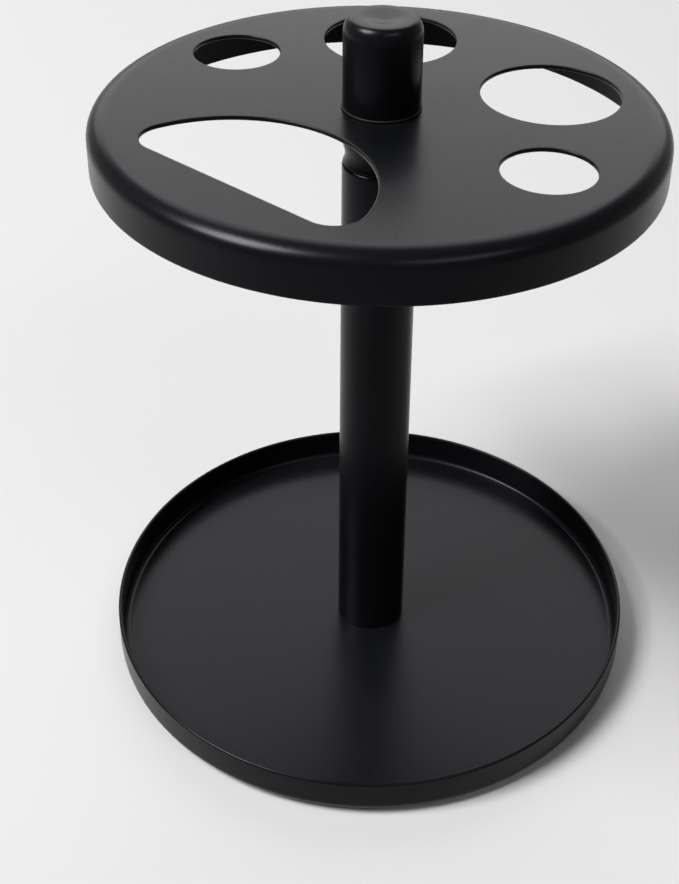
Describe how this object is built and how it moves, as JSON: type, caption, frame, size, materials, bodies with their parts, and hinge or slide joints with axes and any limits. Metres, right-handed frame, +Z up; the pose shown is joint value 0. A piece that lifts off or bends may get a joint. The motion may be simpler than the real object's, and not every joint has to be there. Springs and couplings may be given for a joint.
{
  "type": "round holder stand",
  "caption": "Round stand for slim hand tools: a pierced top plate on a post above a drip tray, held by a screw-on knob.",
  "frame": {"origin": "on the surface the stand rests on, on the axis of the post", "axes": "+Z up along the post; the half-round opening faces -Y; the stand is mirrored about the YZ plane"},
  "size_m": [0.117, 0.117, 0.1503],
  "materials": {
    "black_coat": "satin black powder coat with a very fine texture",
    "zinc_steel": "bright zinc-plated steel",
    "brass": "turned brass",
    "nylon": "black nylon",
    "foam": "matt black foam rubber"
  },
  "bodies": {
    "stand": {"base_pad": "foam", "base_tray": "black_coat", "base_washer": "zinc_steel", "base_screw": "zinc_steel", "foot_plug": "zinc_steel", "post_tube": "black_coat"},
    "plug": {"head_plug": "zinc_steel", "stud": "zinc_steel"},
    "head": {"neck_collar": "black_coat", "top_plate": "black_coat"},
    "washer": {"knob_washer": "nylon"},
    "knob": {"knob_insert": "brass", "knob": "black_coat"}
  },
  "joints": [
    {"name": "head_lift", "type": "slide", "parent": "stand", "child": "plug", "axis": [0, 0, 1], "range_m": [0, 0.03]},
    {"name": "plate_swivel", "type": "hinge", "parent": "plug", "child": "head", "pos_m": [0, 0, 0.125], "axis": [0, 0, 1], "continuous": true},
    {"name": "knob_rise", "type": "slide", "parent": "plug", "child": "washer", "axis": [0, 0, 1], "range_m": [0, 0.007]},
    {"name": "knob_turn", "type": "hinge", "parent": "washer", "child": "knob", "pos_m": [0, 0, 0.14], "axis": [0, 0, 1], "range_deg": [0, 2530]}
  ],
  "couplings": [
    {"joint": "knob_turn", "follows": "knob_rise", "rad_per_m": 6283.2}
  ]
}
